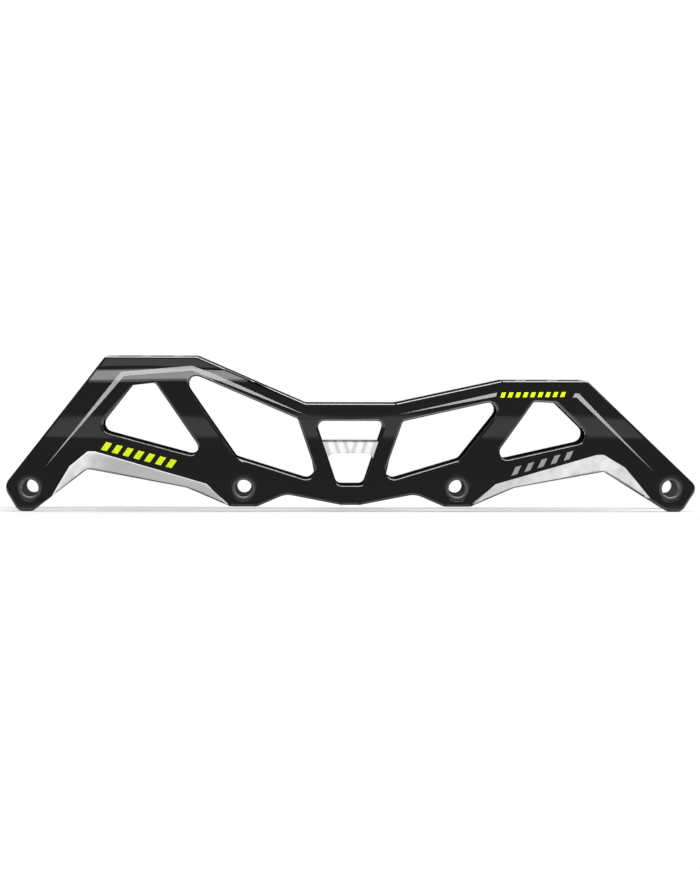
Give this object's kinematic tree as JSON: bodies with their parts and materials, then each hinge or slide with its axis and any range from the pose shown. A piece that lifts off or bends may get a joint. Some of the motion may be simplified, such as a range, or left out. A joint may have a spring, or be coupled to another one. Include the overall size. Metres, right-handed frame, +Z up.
{
  "type": "inline skate frame",
  "caption": "Black aluminium inline skate frame: two windowed side walls joined by slotted boot decks and a bridge, with bushed axle holes and bright milled arches.",
  "frame": {"origin": "on the floor under the middle of the frame, standing on its end bosses", "axes": "+X along the frame towards the toe, +Y to the left side wall, +Z up to the boot"},
  "size_m": [0.3279, 0.0406, 0.0737],
  "materials": {
    "black_anodised": "bead blasted and black anodised, satin",
    "milled_aluminium": "bright, milled after anodising",
    "bush_steel": "turned, satin"
  },
  "bodies": {
    "root": {"right_side_wall": "black_anodised", "left_side_wall": "black_anodised", "right_window_bar": "milled_aluminium", "left_window_bar": "milled_aluminium", "rear_mount_deck": "black_anodised", "centre_bridge": "black_anodised", "front_mount_deck": "black_anodised", "right_axle_bush_1": "bush_steel", "right_axle_bush_2": "bush_steel", "right_axle_bush_3": "bush_steel", "right_axle_bush_4": "bush_steel", "left_axle_insert_1": "bush_steel", "left_axle_insert_2": "bush_steel", "left_axle_insert_3": "bush_steel", "left_axle_insert_4": "bush_steel", "rear_deck_dowels": "bush_steel", "centre_bridge_dowels": "bush_steel", "front_deck_dowels": "bush_steel"}
  },
  "joints": []
}
